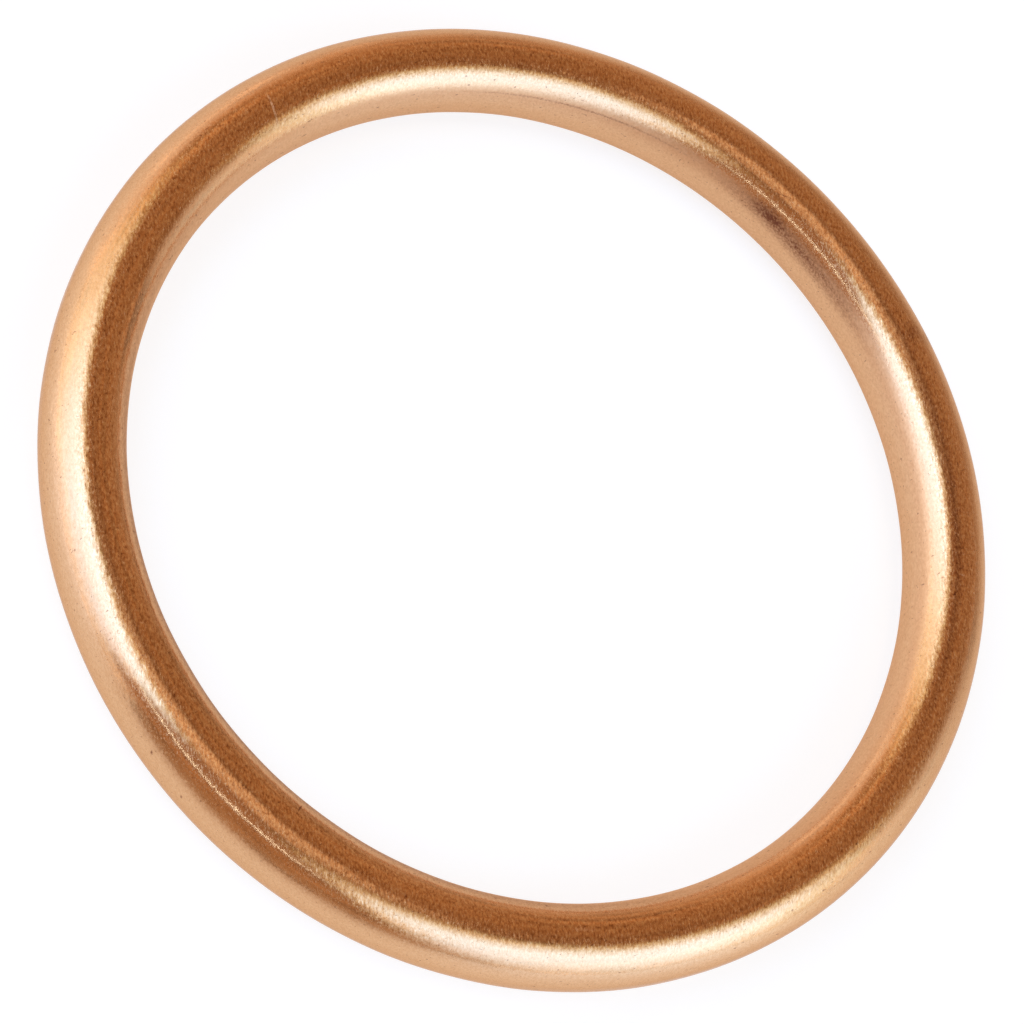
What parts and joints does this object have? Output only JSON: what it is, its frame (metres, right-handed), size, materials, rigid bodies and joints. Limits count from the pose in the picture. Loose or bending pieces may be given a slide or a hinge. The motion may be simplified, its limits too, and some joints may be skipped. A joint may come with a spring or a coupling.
{
  "type": "exhaust pipe gasket",
  "caption": "Hollow crush ring rolled from soft copper sheet, with a rounded section and a lap seam underneath, that seals an exhaust pipe in its port.",
  "frame": {"origin": "middle of the ring, on the plane that it lies on", "axes": "+Z is the ring's axis, away from the surface that it lies on; X and Y lie across the ring"},
  "size_m": [0.0456, 0.0456, 0.0041],
  "materials": {
    "copper": "satin soft copper, lightly brushed and scuffed"
  },
  "bodies": {
    "root": {"copper_ring": "copper"}
  },
  "joints": []
}
